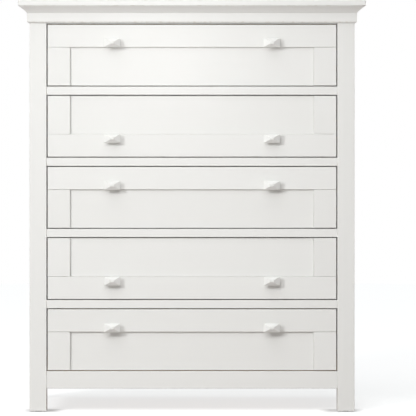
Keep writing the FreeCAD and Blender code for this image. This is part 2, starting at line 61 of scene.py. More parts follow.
Colour = tuple[float, float, float]
Rule = Callable[[Vector, Vector], bool]
Steps = tuple[tuple[float, float], ...]
Object = bpy.types.Object


class Axis(Enum):
    """A direction of the chest's own frame, such as the one that a board's grain follows."""

    X = 0
    Y = 1
    Z = 2

    @classmethod
    def longest(cls, piece: Object) -> "Axis":
        """The axis along which a piece at the origin is longest."""
        sides = list(piece.dimensions)
        return cls(sides.index(max(sides)))

    def vector(self, along: float, across: float) -> tuple[float, ...]:
        """Factors for X, Y and Z, one value along this axis and another across it."""
        return tuple(along if i == self.value else across for i in range(3))


class Hand(Enum):
    """Which side of the chest a piece is on, seen from the front."""

    LEFT = -1
    RIGHT = 1


class Pick(Enum):
    """What an edit works on."""

    EDGE = "EDGE"
    FACE = "FACE"


# ---- shader building


class Signal:
    """A number from a shader socket. Python's operators on it add Math nodes."""

    def __init__(self, shader: "Shader", socket: bpy.types.NodeSocket) -> None:
        """Wraps an output socket of a shader that carries a number."""
        self.shader = shader
        self.socket = socket

    def _math(self, operation: str, *values: "Number") -> "Signal":
        """Adds one Math node with its inputs in order, and gives its result."""
        made = self.shader.node("Math", {"operation": operation}, dict(enumerate(values)))
        return Signal(self.shader, made.outputs[0])

    def __add__(self, other: "Number") -> "Signal":
        """Sum."""
        return self._math("ADD", self, other)

    def __sub__(self, other: "Number") -> "Signal":
        """Difference."""
        return self._math("SUBTRACT", self, other)

    def __rsub__(self, other: "Number") -> "Signal":
        """Difference from a plain number."""
        return self._math("SUBTRACT", other, self)

    def __mul__(self, other: "Number") -> "Signal":
        """Product."""
        return self._math("MULTIPLY", self, other)

    def __pow__(self, other: "Number") -> "Signal":
        """Power."""
        return self._math("POWER", self, other)

    __radd__ = __add__
    __rmul__ = __mul__

    def size(self) -> "Signal":
        """The value without its sign."""
        return self._math("ABSOLUTE", self)

    def larger(self, other: "Number") -> "Signal":
        """The larger of two values."""
        return self._math("MAXIMUM", self, other)

    def between(self, low: float, high: float) -> "Signal":
        """A soft step.

        Args:
            low: where the result is 0.
            high: where the result is 1.

        Returns:
            A value from 0 to 1.
        """
        inputs = {"Value": self, "From Min": low, "From Max": high}
        made = self.shader.node("MapRange", {"interpolation_type": "SMOOTHSTEP"}, inputs)
        return Signal(self.shader, made.outputs["Result"])


Number = Union[Signal, float]


def mixed(weights: Sequence[float], *signals: Signal) -> Signal:
    """The sum of some signals, each times its weight."""
    first, *others = (signal * weight for signal, weight in zip(signals, weights))
    return sum(others, first)


@dataclass(frozen=True)
class Layer:
    """A pattern of soft noise: its cells to a metre, finer layers and the band that it keeps."""

    along: float
    across: float
    detail: float = 2.0
    band: Optional[tuple[float, float]] = None


class Shader:
    """A material with one Principled shader, to which finishes add nodes."""

    def __init__(self, name: str) -> None:
        """Starts an empty material.

        Args:
            name: the material's name.
        """
        self.material = bpy.data.materials.new(name)
        self.material.use_nodes = True
        self.tree = self.material.node_tree
        self.tree.nodes.clear()
        self.surface = self.node("BsdfPrincipled")
        self.node("OutputMaterial", inputs={"Surface": self.surface.outputs["BSDF"]})
        self.place = self.node("TexCoord").outputs["Object"]

    def node(
        self,
        kind: str,
        settings: Optional[dict[str, object]] = None,
        inputs: Optional[dict[Union[str, int], object]] = None,
    ) -> bpy.types.ShaderNode:
        """Adds a node.

        Args:
            kind: the node's type without its ShaderNode prefix.
            settings: properties that are set before its sockets are filled.
            inputs: socket name or number to a value, a socket or a signal.

        Returns:
            The new node.
        """
        made = self.tree.nodes.new("ShaderNode" + kind)
        for name, value in (settings or {}).items():
            setattr(made, name, value)
        for key, value in (inputs or {}).items():
            self._fill(made.inputs[key], value)
        return made

    def _fill(self, socket: bpy.types.NodeSocket, value: object) -> None:
        """Links or sets one input.

        Args:
            socket: the input.
            value: a signal, a socket, a number or a row of numbers.
        """
        value = value.socket if isinstance(value, Signal) else value
        if isinstance(value, bpy.types.NodeSocket):
            self.tree.links.new(value, socket)
        else:
            socket.default_value = value

    def stretched(
        self, scale: Sequence[float], turn: Sequence[float] = (0, 0, 0)
    ) -> bpy.types.NodeSocket:
        """Object coordinates, scaled on each axis and turned by angles in radians."""
        inputs = {"Vector": self.place, "Scale": scale, "Rotation": turn}
        return self.node("Mapping", inputs=inputs).outputs[0]

    def noise(self, layer: Layer, grain: Axis = Axis.X) -> Signal:
        """Adds one layer of noise.

        Args:
            layer: its pattern.
            grain: the axis that the pattern's length follows.

        Returns:
            The noise, about 0.5 on average, or a soft step from 0 to 1 over the layer's band.
        """
        where = self.stretched(grain.vector(layer.along, layer.across))
        inputs = {"Vector": where, "Scale": 1.0, "Detail": layer.detail}
        made = Signal(self, self.node("TexNoise", inputs=inputs).outputs[0])
        return made.between(*layer.band) if layer.band else made

    def attribute(self, name: str) -> Signal:
        """A number that is stored on the piece under a name."""
        return Signal(self, self.node("Attribute", {"attribute_name": name}).outputs["Fac"])

    def blend(self, factor: Number, first: object, second: object) -> bpy.types.NodeSocket:
        """Mixes two colours.

        Args:
            factor: 0 for the first colour and 1 for the second.
            first: a colour or a colour socket.
            second: a colour or a colour socket.

        Returns:
            The mixed colour.
        """
        first, second = ((*c, 1.0) if isinstance(c, tuple) else c for c in (first, second))
        made = self.node("Mix", {"data_type": "RGBA"}, {0: factor, 6: first, 7: second})
        return made.outputs[2]

    def relief(self, height: Signal, depth: float) -> bpy.types.NodeSocket:
        """Turns a height from 0 to 1 into a normal, for a relief that deep in metres."""
        return self.node("Bump", inputs={"Height": height, "Distance": depth}).outputs[0]

    def dress(self, **inputs: object) -> None:
        """Fills the Principled shader's sockets.

        Args:
            inputs: socket names, with an underscore for each space, to their values.
        """
        for name, value in inputs.items():
            value = (*value, 1.0) if isinstance(value, tuple) else value
            self._fill(self.surface.inputs[name.replace("_", " ")], value)


# ---- finishes


@dataclass(frozen=True)
class Finish:
    """What every finish has: a name and the record's slot that it belongs to."""

    name: str
    slot: str

    def material(self, grain: Axis) -> bpy.types.Material:
        """Makes the finish's material.

        Args:
            grain: the direction that its grain or brushing follows.

        Returns:
            A new material.
        """
        shader = Shader(f"{self.name}_{grain.name.lower()}")
        self._dress(shader, grain)
        return shader.material

    def _dress(self, shader: Shader, grain: Axis) -> None:
        """Adds the finish's own nodes, which each finish does in its way."""
        raise NotImplementedError(self.name)


@dataclass(frozen=True)
class SatinPaint(Finish):
    """Sprayed and rubbed satin paint, with the wood's grain just showing through it."""

    colour: Colour = (0.800, 0.808, 0.790)
    shade: Colour = (0.765, 0.771, 0.750)
    thin: Colour = (0.700, 0.684, 0.640)
    roughness: float = 0.36
    grain_depth: float = 0.00007
    sway_depth: float = 0.0004
    streaks: Layer = Layer(7.0, 320.0, 3.0)
    sway: Layer = Layer(3.0, 16.0, 1.0)
    peel: Layer = Layer(900.0, 900.0, 1.0)
    cloud: Layer = Layer(2.6, 2.6)
    wear: Layer = Layer(70.0, 70.0, 3.0, (0.42, 0.7))
    tone_mix: tuple[float, ...] = (0.5, 0.3, 0.2)
    bump_mix: tuple[float, ...] = (0.6, 0.4)
    gloss_mix: tuple[float, ...] = (0.14, 0.08, -0.06)
    wear_strength: float = 0.8
    refraction: float = 1.49

    def _dress(self, shader: Shader, grain: Axis) -> None:
        """Adds paint over wood.

        Args:
            shader: the material's shader.
            grain: the board's length.
        """
        layers = (self.streaks, self.peel, self.sway, self.cloud, self.wear)
        streaks, peel, sway, cloud, wear = (shader.noise(layer, grain) for layer in layers)
        worn = wear * shader.attribute("arris")
        tone = mixed(self.tone_mix, cloud, streaks, shader.attribute("tone"))
        paint = shader.blend(tone, self.colour, self.shade)
        bumps = shader.relief(mixed(self.bump_mix, streaks, peel), self.grain_depth)
        under = {"Height": sway, "Distance": self.sway_depth, "Normal": bumps}
        normal = shader.node("Bump", inputs=under)
        shader.dress(
            Base_Color=shader.blend(worn * self.wear_strength, paint, self.thin),
            Roughness=mixed(self.gloss_mix, cloud - 0.5, streaks - 0.5, worn) + self.roughness,
            Normal=normal.outputs[0],
            IOR=self.refraction,
        )


@dataclass(frozen=True)
class PlanedWood(Finish):
    """Solid wood with growth rings, fibres, pores and darker end grain."""

    early: Colour = (0.70, 0.55, 0.36)
    late: Colour = (0.52, 0.36, 0.20)
    ring_gap: float = 0.006
    tilt: float = 0.02
    roughness: float = 0.48
    coat: float = 0.0
    coat_roughness: float = 0.22
    shift: float = 0.31
    fibres: Layer = Layer(9.0, 620.0, 4.0)
    pores: Layer = Layer(70.0, 2100.0, 1.0, (0.62, 0.74))
    cloud: Layer = Layer(1.5, 9.0)
    end_band: tuple[float, float] = (0.6, 0.95)
    ring_contrast: float = 2.2
    tone_mix: tuple[float, ...] = (0.42, 0.8, 0.7, 0.16)
    dark_mix: tuple[float, ...] = (0.38, 0.32)
    gloss_mix: tuple[float, ...] = (0.2, 0.15)
    bump_mix: tuple[float, ...] = (0.7, -0.6)
    darker: float = 0.45
    grain_depth: float = 0.00012

    def _dress(self, shader: Shader, grain: Axis) -> None:
        """Adds wood with its rings about an axis along the grain.

        Args:
            shader: the material's shader.
            grain: the board's length.
        """
        turn = tuple(0.0 if i == grain.value else self.tilt * (i + 1) for i in range(3))
        moved = {0: shader.stretched((1, 1, 1), turn), 1: grain.vector(0.0, self.shift)}
        about = shader.node("VectorMath", {"operation": "ADD"}, moved).outputs[0]
        settings = {"wave_type": "RINGS", "rings_direction": grain.name}
        inputs = {"Vector": about, "Scale": math.tau / 20 / self.ring_gap}
        inputs |= {"Distortion": 5.0, "Detail Scale": 0.06}
        rings = shader.node("TexWave", settings, inputs)
        ring = Signal(shader, rings.outputs[1]) ** self.ring_contrast
        layers = (self.fibres, self.pores, self.cloud)
        fibres, pores, cloud = (shader.noise(layer, grain) for layer in layers)
        facing = Signal(shader, shader.node("TexCoord").outputs["Normal"])
        split = shader.node("SeparateXYZ", inputs={0: facing}).outputs[grain.value]
        end = Signal(shader, split).size().between(*self.end_band)
        board = shader.attribute("tone") + 1.0
        tone = mixed(self.tone_mix, ring, fibres - 0.5, cloud - 0.5, board)
        wood = shader.blend(tone, self.early, self.late)
        dark = tuple(c * self.darker for c in self.late)
        wood = shader.blend(mixed(self.dark_mix, pores, end), wood, dark)
        shader.dress(
            Base_Color=wood,
            Roughness=mixed(self.gloss_mix, fibres - 0.5, end) + self.roughness,
            Coat_Weight=self.coat,
            Coat_Roughness=self.coat_roughness,
            Normal=shader.relief(mixed(self.bump_mix, fibres, pores), self.grain_depth),
        )


@dataclass(frozen=True)
class BackBoard(Finish):
    """Thin pressed board, painted matt on the outside."""

    colour: Colour = (0.715, 0.708, 0.680)
    shade: Colour = (0.655, 0.645, 0.610)
    roughness: float = 0.62
    fibres: Layer = Layer(420.0, 420.0, 4.0)
    cloud: Layer = Layer(2.0, 6.0, 3.0)
    tone_mix: tuple[float, ...] = (0.5, 0.5)
    gloss_mix: tuple[float, ...] = (0.2,)
    fibre_depth: float = 0.0002

    def _dress(self, shader: Shader, grain: Axis) -> None:
        """Adds the board's fine fibrous face.

        Args:
            shader: the material's shader.
            grain: the board's length, along which it is slightly streaked.
        """
        fibres, cloud = (shader.noise(layer, grain) for layer in (self.fibres, self.cloud))
        shader.dress(
            Base_Color=shader.blend(mixed(self.tone_mix, fibres, cloud), self.colour, self.shade),
            Roughness=mixed(self.gloss_mix, fibres - 0.5) + self.roughness,
            Normal=shader.relief(fibres, self.fibre_depth),
        )


@dataclass(frozen=True)
class PlatedSteel(Finish):
    """Zinc-plated steel with a faint crystal pattern and drawing marks along its length."""

    colour: Colour = (0.60, 0.61, 0.63)
    shade: Colour = (0.47, 0.49, 0.52)
    roughness: float = 0.32
    crystal: float = 160.0
    marks: Layer = Layer(14.0, 1500.0)
    mark_depth: float = 0.00002
    film: Layer = Layer(24.0, 24.0)
    tone_mix: tuple[float, ...] = (0.45, 0.4)
    gloss_mix: tuple[float, ...] = (0.24, 0.16)

    def _dress(self, shader: Shader, grain: Axis) -> None:
        """Adds the plating.

        Args:
            shader: the material's shader.
            grain: the direction of the drawing marks.
        """
        cells = shader.node("TexVoronoi", inputs={"Vector": shader.place, "Scale": self.crystal})
        crystal = Signal(shader, cells.outputs["Color"])
        marks, film = (shader.noise(layer, grain) for layer in (self.marks, self.film))
        shader.dress(
            Base_Color=shader.blend(mixed(self.tone_mix, crystal, film), self.colour, self.shade),
            Metallic=1.0,
            Roughness=mixed(self.gloss_mix, marks - 0.5, film - 0.5) + self.roughness,
            Normal=shader.relief(marks, self.mark_depth),
        )


@dataclass(frozen=True)
class MouldedNylon(Finish):
    """Dark moulded nylon, scuffed in patches all over."""

    colour: Colour = (0.028, 0.027, 0.026)
    scuff: Colour = (0.11, 0.105, 0.10)
    roughness: float = 0.5
    speckle: Layer = Layer(1400.0, 1400.0)
    speckle_depth: float = 0.00003
    scuffs: Layer = Layer(90.0, 300.0, 4.0, (0.55, 0.75))
    scuff_strength: float = 0.7
    gloss_mix: tuple[float, ...] = (0.2, 0.1)

    def _dress(self, shader: Shader, grain: Axis) -> None:
        """Adds the nylon, which has no grain.

        Args:
            shader: the material's shader.
            grain: unused.
        """
        speckle, scuffs = (shader.noise(layer, Axis.Y) for layer in (self.speckle, self.scuffs))
        shader.dress(
            Base_Color=shader.blend(scuffs * self.scuff_strength, self.colour, self.scuff),
            Roughness=mixed(self.gloss_mix, scuffs, speckle - 0.5) + self.roughness,
            Normal=shader.relief(speckle, self.speckle_depth),
        )


@dataclass(frozen=True)
class PaleFloor(Finish):
    """The studio's floor: pale acrylic that glows from below, with a painted contact shadow where
    the glow dims beside the front feet.
    """

    colour: Colour = (0.50, 0.50, 0.50)
    glow: Colour = (0.722, 0.733, 0.737)
    dimmer: Colour = (0.714, 0.725, 0.729)
    bounce: Colour = (0.092, 0.052, 0.036)
    black: Colour = (0.0, 0.0, 0.0)
    cloud: Layer = Layer(1.3, 1.3)
    gloss_mix: tuple[float, ...] = (0.1,)
    roughness: float = 0.75
    foot_aside: float = 0.440
    foot_ahead: float = -0.190
    foot_reach: float = 0.026
    fade: float = 0.045
    masked: float = 0.55

    def _dress(self, shader: Shader, grain: Axis) -> None:
        """Adds the floor, which has no grain.

        Args:
            shader: the material's shader.
            grain: unused.
        """
        cloud = shader.noise(self.cloud)
        glow = shader.blend(cloud, self.glow, self.dimmer)
        split = shader.node("SeparateXYZ", inputs={0: shader.place}).outputs
        # Painted contact shadow: the glow that the camera sees is darkened towards black round each
        # front foot.
        aside = (Signal(shader, split[0]).size() - self.foot_aside).size()
        ahead = (Signal(shader, split[1]) - self.foot_ahead).size()
        beyond_foot_shadow = aside.larger(ahead).between(self.foot_reach, self.foot_reach + self.fade)
        glow = shader.blend((1.0 - beyond_foot_shadow) * self.masked, glow, self.black)
        # Only camera rays see the glow. Other rays meet a faint warm emission, a painted bounce
        # light that the floor casts on the chest.
        seen = Signal(shader, shader.node("LightPath").outputs["Is Camera Ray"])
        shader.dress(
            Base_Color=self.colour,
            Roughness=mixed(self.gloss_mix, cloud - 0.5) + self.roughness,
            Specular_IOR_Level=0.0,
            Emission_Color=shader.blend(seen, self.bounce, glow),
            Emission_Strength=1.0,
        )


PAINT = SatinPaint("satin_white_paint", "white_paint")
KNOB_PAINT = SatinPaint(
    "knob_paint", "knob_paint", roughness=0.32, grain_depth=0.00003, sway_depth=0.0001
)
BOX_WOOD = PlanedWood("drawer_box_birch", "drawer_box_wood", roughness=0.42, coat=0.25)
PLYWOOD = PlanedWood(
    "drawer_bottom_plywood",
    "plywood",
    early=(0.74, 0.60, 0.41),
    late=(0.60, 0.44, 0.27),
    ring_gap=0.011,
    tilt=0.05,
    coat=0.15,
)
BARE_WOOD = PlanedWood(
    "planed_pine",
    "bare_wood",
    early=(0.72, 0.55, 0.33),
    late=(0.55, 0.33, 0.15),
    ring_gap=0.0045,
    roughness=0.6,
)
BACK_BOARD = BackBoard("back_board", "back_board")
RUNNER_STEEL = PlatedSteel("runner_zinc", "runner_steel")
BALL_STEEL = PlatedSteel(
    "bearing_ball_steel",
    "runner_steel",
    colour=(0.72, 0.72, 0.73),
    shade=(0.58, 0.57, 0.54),
    roughness=0.14,
    crystal=900.0,
)
SCREW_STEEL = PlatedSteel(
    "screw_zinc",
    "screw_steel",
    colour=(0.66, 0.60, 0.44),
    shade=(0.55, 0.50, 0.40),
    roughness=0.34,
    crystal=700.0,
)
NYLON = MouldedNylon("glide_nylon", "glide_plastic")
FLOOR = PaleFloor("studio_floor", "")


class FinishShelf:
    """Keeps each finish's material for each grain direction, so that it is made once."""

    def __init__(self) -> None:
        """Starts with no materials."""
        self._made: dict[tuple[Finish, Axis], bpy.types.Material] = {}

    def get(self, finish: Finish, grain: Axis) -> bpy.types.Material:
        """The material of a finish.

        Args:
            finish: the finish.
            grain: the direction of its grain.

        Returns:
            Its material, made now or earlier.
        """
        key = (finish, grain)
        if key not in self._made:
            self._made[key] = finish.material(grain)
        return self._made[key]


# ---- modelling


class Bench:
    """The moves that shape pieces, made with Blender's own operators."""

    WELD = 0.000002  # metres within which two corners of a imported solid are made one
    FLAT = 0.4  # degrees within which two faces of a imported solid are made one
    NORMAL_WEIGHT = 90  # how much a large face outweighs a small one in the shading

    def only(self, *pieces: Object) -> None:
        """Selects these pieces alone, with the first one active.

        Args:
            pieces: the pieces to work on.
        """
        if bpy.context.mode != "OBJECT":
            bpy.ops.object.mode_set(mode="OBJECT")
        bpy.ops.object.select_all(action="DESELECT")
        for piece in pieces:
            piece.select_set(True)
        bpy.context.view_layer.objects.active = pieces[0]

    def settle(self, piece: Object, name: str) -> Object:
        """Names a piece and puts its place into its mesh.

        Args:
            piece: the piece.
            name: its new name.

        Returns:
            The piece.
        """
        self.only(piece)
        bpy.ops.object.transform_apply(location=True, rotation=True, scale=True)
        piece.name = piece.data.name = name
        return piece

    def add(self, kind: str, name: str, **settings: object) -> Object:
        """Adds a starting shape, which edits then work on.

        Args:
            kind: Blender's name for the shape.
            name: the piece's name.
            settings: its place and sizes.

        Returns:
            The piece.
        """
        bpy.ops.object.select_all(action="DESELECT")
        getattr(bpy.ops.mesh, f"primitive_{kind}_add")(**settings)
        return self.settle(bpy.context.object, name)

    def block(self, name: str, low: Sequence[float], high: Sequence[float]) -> Object:
        """A block between its lowest and its highest corner."""
        low, high = Vector(low), Vector(high)
        return self.add("cube", name, size=1.0, location=(low + high) / 2, scale=high - low)

    def rod(
        self, name: str, start: Sequence[float], length: float, radius: float, sides: int
    ) -> Object:
        """A round bar along +Z.

        Args:
            name: the piece's name.
            start: the middle of its lower end.
            length: its length.
            radius: its radius.
            sides: how many sides it has.

        Returns:
            The bar.
        """
        middle = Vector(start) + Vector((0, 0, length / 2))
        size = {"vertices": sides, "radius": radius, "depth": length}
        return self.add("cylinder", name, location=middle, **size)

    def edit(self, piece: Object, pick: Pick, rule: Rule) -> None:
        """Opens a piece for editing with the edges or faces that a rule picks.

        Args:
            piece: the piece.
            pick: whether the rule is asked about edges or faces.
            rule: is given an edge's two ends, or a face's middle and normal.
        """
        self.only(piece)
        bpy.ops.object.mode_set(mode="EDIT")
        bpy.ops.mesh.select_mode(type=pick.value)
        bpy.ops.mesh.select_all(action="DESELECT")
        bpy.ops.object.mode_set(mode="OBJECT")
        mesh = piece.data
        if pick is Pick.FACE:
            for face in mesh.polygons:
                face.select = rule(face.center, face.normal)
        else:
            for edge in mesh.edges:
                first, second = (mesh.vertices[i].co for i in edge.vertices)
                edge.select = rule(first, second)
        bpy.ops.object.mode_set(mode="EDIT")

    def close(self) -> None:
        """Ends an edit."""
        bpy.ops.object.mode_set(mode="OBJECT")

    def pull(self, step: Sequence[float], scale: Sequence[float], about: Sequence[float]) -> None:
        """Extrudes the picked faces by a step, and scales what comes out about a point."""
        bpy.ops.mesh.extrude_region_move(TRANSFORM_OT_translate={"value": tuple(step)})
        bpy.ops.transform.resize(value=tuple(scale), center_override=tuple(about))

    def bevel(self, piece: Object, width: float, segments: int, rule: Rule) -> None:
        """Rounds the edges that a rule picks.

        Args:
            piece: the piece.
            width: how far the rounding reaches from the edge.
            segments: how many faces it has.
            rule: is given an edge's two ends.
        """
        self.edit(piece, Pick.EDGE, rule)
        bpy.ops.mesh.bevel(offset=width, segments=segments, affect="EDGES")
        self.close()

    def modify(self, piece: Object, kind: str, **settings: object) -> None:
        """Adds a modifier and applies it.

        Args:
            piece: the piece.
            kind: the modifier's type.
            settings: its properties.
        """
        self.only(piece)
        bpy.ops.object.modifier_add(type=kind)
        modifier = piece.modifiers[-1]
        for name, value in settings.items():
            setattr(modifier, name, value)
        bpy.ops.object.modifier_apply(modifier=modifier.name)

    def ease(
        self, piece: Object, width: float, segments: int = 2, sharper_than: float = 30.0
    ) -> None:
        """Takes the sharpness off edges that are sharper than an angle in degrees."""
        limit = {"limit_method": "ANGLE", "angle_limit": math.radians(sharper_than)}
        self.modify(piece, "BEVEL", width=width, segments=segments, **limit)

    def smooth(self, piece: Object, angle: float = 38.0) -> None:
        """Shades a piece smooth across shallow edges and keeps its large faces flat.

        Args:
            piece: the piece.
            angle: the angle in degrees past which an edge stays sharp.
        """
        self.only(piece)
        bpy.ops.object.shade_smooth_by_angle(angle=math.radians(angle))
        self.modify(piece, "WEIGHTED_NORMAL", keep_sharp=True, weight=self.NORMAL_WEIGHT)

    def cut(self, piece: Object, cutter: Object) -> None:
        """Takes one shape out of another, and removes the cutter."""
        self.modify(piece, "BOOLEAN", operation="DIFFERENCE", solver="EXACT", object=cutter)
        bpy.data.objects.remove(cutter)

    def copy(self, piece: Object, name: str, move: Matrix) -> Object:
        """Copies a piece with a mesh of its own.

        Args:
            piece: the piece.
            name: the copy's name.
            move: where the copy goes. It may turn the piece but not mirror it.

        Returns:
            The copy.
        """
        made = bpy.data.objects.new(name, piece.data.copy())
        made.data.name = name
        made.data.transform(move)
        bpy.context.scene.collection.objects.link(made)
        return made

    def mirror(self, piece: Object, name: str) -> Object:
        """Copies a piece to the other side of the chest.

        Args:
            piece: the piece.
            name: the copy's name.

        Returns:
            The mirrored copy, with its faces outwards.
        """
        made = self.copy(piece, name, Matrix.Identity(4))
        self.edit(made, Pick.FACE, lambda middle, normal: True)
        bpy.ops.transform.resize(value=(-1, 1, 1), center_override=(0, 0, 0))
        bpy.ops.mesh.normals_make_consistent(inside=False)
        self.close()
        return made

    def join(self, pieces: Sequence[Object], name: str) -> Object:
        """Makes several pieces one.

        Args:
            pieces: the pieces, the first of which stays.
            name: the result's name.

        Returns:
            The joined piece.
        """
        self.only(*pieces)
        if len(pieces) > 1:
            bpy.ops.object.join()
        pieces[0].name = pieces[0].data.name = name
        return pieces[0]

    def take_apart(self, node: str) -> list[Object]:
        """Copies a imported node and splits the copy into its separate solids.

        Args:
            node: the node's name.

        Returns:
            The solids, from left to right, then front to back, then bottom to top.
        """
        whole = bpy.data.objects.new(node + "_copy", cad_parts[node].data.copy())
        whole.data.materials.clear()
        bpy.context.scene.collection.objects.link(whole)
        solids = [whole]
        for start, _ in reversed(shells_of(whole.data)[1:]):
            self.edit(whole, Pick.FACE, lambda middle, normal: False)
            self.close()
            for face in whole.data.polygons:
                face.select = face.index >= start
            bpy.ops.object.mode_set(mode="EDIT")
            bpy.ops.mesh.separate(type="SELECTED")
            self.close()
            solids += [o for o in bpy.context.selected_objects if o is not whole]
        for solid in solids:
            self.only(solid)
            bpy.ops.object.mode_set(mode="EDIT")
            bpy.ops.mesh.select_all(action="SELECT")
            bpy.ops.mesh.remove_doubles(threshold=self.WELD)
            bpy.ops.mesh.dissolve_limited(angle_limit=math.radians(self.FLAT))
            self.close()

        def place(solid: Object) -> tuple[float, ...]:
            """Twice a solid's middle, to the millimetre."""
            return tuple(round(c, 3) for c in sum(corners_of(solid), Vector()))

        return sorted(solids, key=place)


def shells_of(mesh: bpy.types.Mesh) -> list[tuple[int, int]]:
    """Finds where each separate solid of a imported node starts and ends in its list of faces.

    A solid is whole once every edge has been met from both sides.

    Args:
        mesh: the node's mesh, whose solids follow one another.

    Returns:
        The first face of each solid and the one after its last.
    """
    points = [tuple(round(c * 1e5) for c in v.co) for v in mesh.vertices]
    lone: Counter[tuple[object, object]] = Counter()
    shells, start = [], 0
    for face in mesh.polygons:
        ring = [points[i] for i in face.vertices]
        for edge in zip(ring, ring[1:] + ring[:1]):
            back = edge[::-1]
            if lone[back] > 0:
                lone[back] -= 1
            elif edge[0] != edge[1]:
                lone[edge] += 1
        if not +lone:
            shells.append((start, face.index + 1))
            start = face.index + 1
            lone.clear()
    return shells


def points_of(mesh: bpy.types.Mesh, start: int, end: int) -> list[Vector]:
    """Each corner of a run of faces once, from the first face to the one before the end."""
    used = {i for face in mesh.polygons[start:end] for i in face.vertices}
    return [mesh.vertices[i].co.copy() for i in sorted(used)]


def extent(points: Sequence[Vector]) -> tuple[Vector, Vector]:
    """The lowest and highest corner of the box round some points."""
    low, high = (Vector([end(p[i] for p in points) for i in range(3)]) for end in (min, max))
    return low, high


def corners_of(piece: Object) -> tuple[Vector, Vector]:
    """The lowest and highest corner of a piece at the origin."""
    return extent([v.co for v in piece.data.vertices])


def solids_of(node: str) -> list[tuple[Vector, Vector]]:
    """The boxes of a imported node's solids.

    Args:
        node: the node's name.

    Returns:
        The lowest and highest corner of each, from left to right.
    """
    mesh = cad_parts[node].data
    boxes = [extent(points_of(mesh, *shell)) for shell in shells_of(mesh)]
    return sorted(boxes, key=lambda b: b[0].x + b[1].x)


@dataclass
class Workshop:
    """Where pieces are dressed and hung on the bodies of the chest."""

    bench: Bench = field(default_factory=Bench)
    shelf: FinishShelf = field(default_factory=FinishShelf)
    chance: random.Random = field(default_factory=lambda: random.Random(5))
    made: int = 0
    arris_width: float = 0.0013
    square_on: float = 0.99

    def hang(
        self, piece: Object, body: str, finish: Finish, grain: Axis, nodes: Sequence[str] = ()
    ) -> None:
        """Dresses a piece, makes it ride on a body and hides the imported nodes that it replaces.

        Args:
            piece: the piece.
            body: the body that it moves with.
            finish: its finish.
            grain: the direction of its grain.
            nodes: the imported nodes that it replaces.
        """
        piece.data.materials.clear()
        piece.data.materials.append(self.shelf.get(finish, grain))
        self.mark(piece)
        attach(piece, body)
        if nodes:
            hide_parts(*nodes)
        self.made += 1
        LOG.info("%s on %s in %s", piece.name, body, finish.name)

    def mark(self, piece: Object) -> None:
        """Stores which faces are arrises and the piece's own tone, which its finish reads.

        Args:
            piece: the piece.
        """
        mesh = piece.data
        widths = []
        for face in mesh.polygons:
            corners = [mesh.vertices[i].co for i in face.vertices]
            round_it = sum((a - b).length for a, b in zip(corners, corners[1:] + corners[:1]))
            slanted = max(abs(c) for c in face.normal) < self.square_on
            narrow = 2 * face.area < self.arris_width * round_it
            widths.append(1.0 if slanted and narrow else 0.0)
        tone = self.chance.uniform(-1.0, 1.0)
        for name, values in (("arris", widths), ("tone", [tone] * len(widths))):
            if name in mesh.attributes:
                mesh.attributes.remove(mesh.attributes[name])
            mesh.attributes.new(name, "FLOAT", "FACE").data.foreach_set("value", values)

    def boards(
        self,
        node: str,
        body: str,
        finish: Finish,
        names: Sequence[str],
        arris: float,
        shape: Optional[Callable[[Object], None]] = None,
    ) -> None:
        """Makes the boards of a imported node, with eased arrises and grain along their length.

        Args:
            node: the node that they replace.
            body: the body that they move with.
            finish: their finish.
            names: one name for each board, in the order that take_apart() gives.
            arris: how far their edges are eased.
            shape: shapes each board before its edges are eased.
        """
        boards = self.bench.take_apart(node)
        if len(boards) != len(names):
            raise ValueError(f"{node} has {len(boards)} boards and {len(names)} names")
        for board, name in zip(boards, names):
            grain = Axis.longest(board)
            board.name = board.data.name = name
            if shape:
                shape(board)
            if arris:
                self.bench.ease(board, arris)
            self.bench.smooth(board)
            self.hang(board, body, finish, grain, [node])


# ---- the chest


@dataclass
class Carcass:
    """The legs, rails, panels and mouldings that stay still."""

    shop: Workshop
    body: str = "case"
    arris: float = 0.0004
    top_arris: float = 0.0005
    fine_arris: float = 0.0003

    def build(self) -> None:
        """Makes every wooden piece of the case."""
        rows: list[tuple[str, list[str], float]] = []
        for piece, part in (("front_leg", "post"), ("rear_leg", "post"), ("side_panel", "board")):
            for side in SIDES:
                rows.append((f"{piece}_{side}", [f"{piece}_{side}_{part}"], self.arris))
        rails = [f"side_rail_{side}_{height}" for side in SIDES for height in ("lower", "upper")]
        dividers = [f"divider_below_drawer_{n}" for n in (4, 3, 2, 1)]
        rows += [
            ("side_rails", rails, self.arris),
            ("top_rail", ["top_front_rail"], self.arris),
            ("bottom_rail", ["bottom_front_rail"], self.arris),
            ("drawer_dividers", dividers, self.arris),
            ("top_board", ["top"], self.top_arris),
        ]
        for name in ("crown", "frieze"):
            runs = [f"{name}_{run}" for run in ("left", "front", "right")]
            rows.append((f"{name}_moulding", runs, self.fine_arris))
        for node, names, arris in rows:
            self.shop.boards(node, self.body, PAINT, names, arris)
        self._hidden()

    def _hidden(self) -> None:
        """Makes the unpainted boards inside and behind the case."""
        cleats = [f"cleat_{side}_{n}" for side in SIDES for n in (5, 4, 3, 2, 1)]
        blocks = [f"corner_block_{end}_{side}" for side in SIDES for end in ("front", "rear")]
        for node, finish, names in (
            ("back_panel", BACK_BOARD, ["back_panel_board"]),
            ("back_rails", BARE_WOOD, ["back_rail_lower", "back_rail_upper"]),
            ("runner_cleats", BARE_WOOD, cleats),
            ("corner_blocks", BARE_WOOD, blocks),
        ):
            self.shop.boards(node, self.body, finish, names, self.fine_arris)


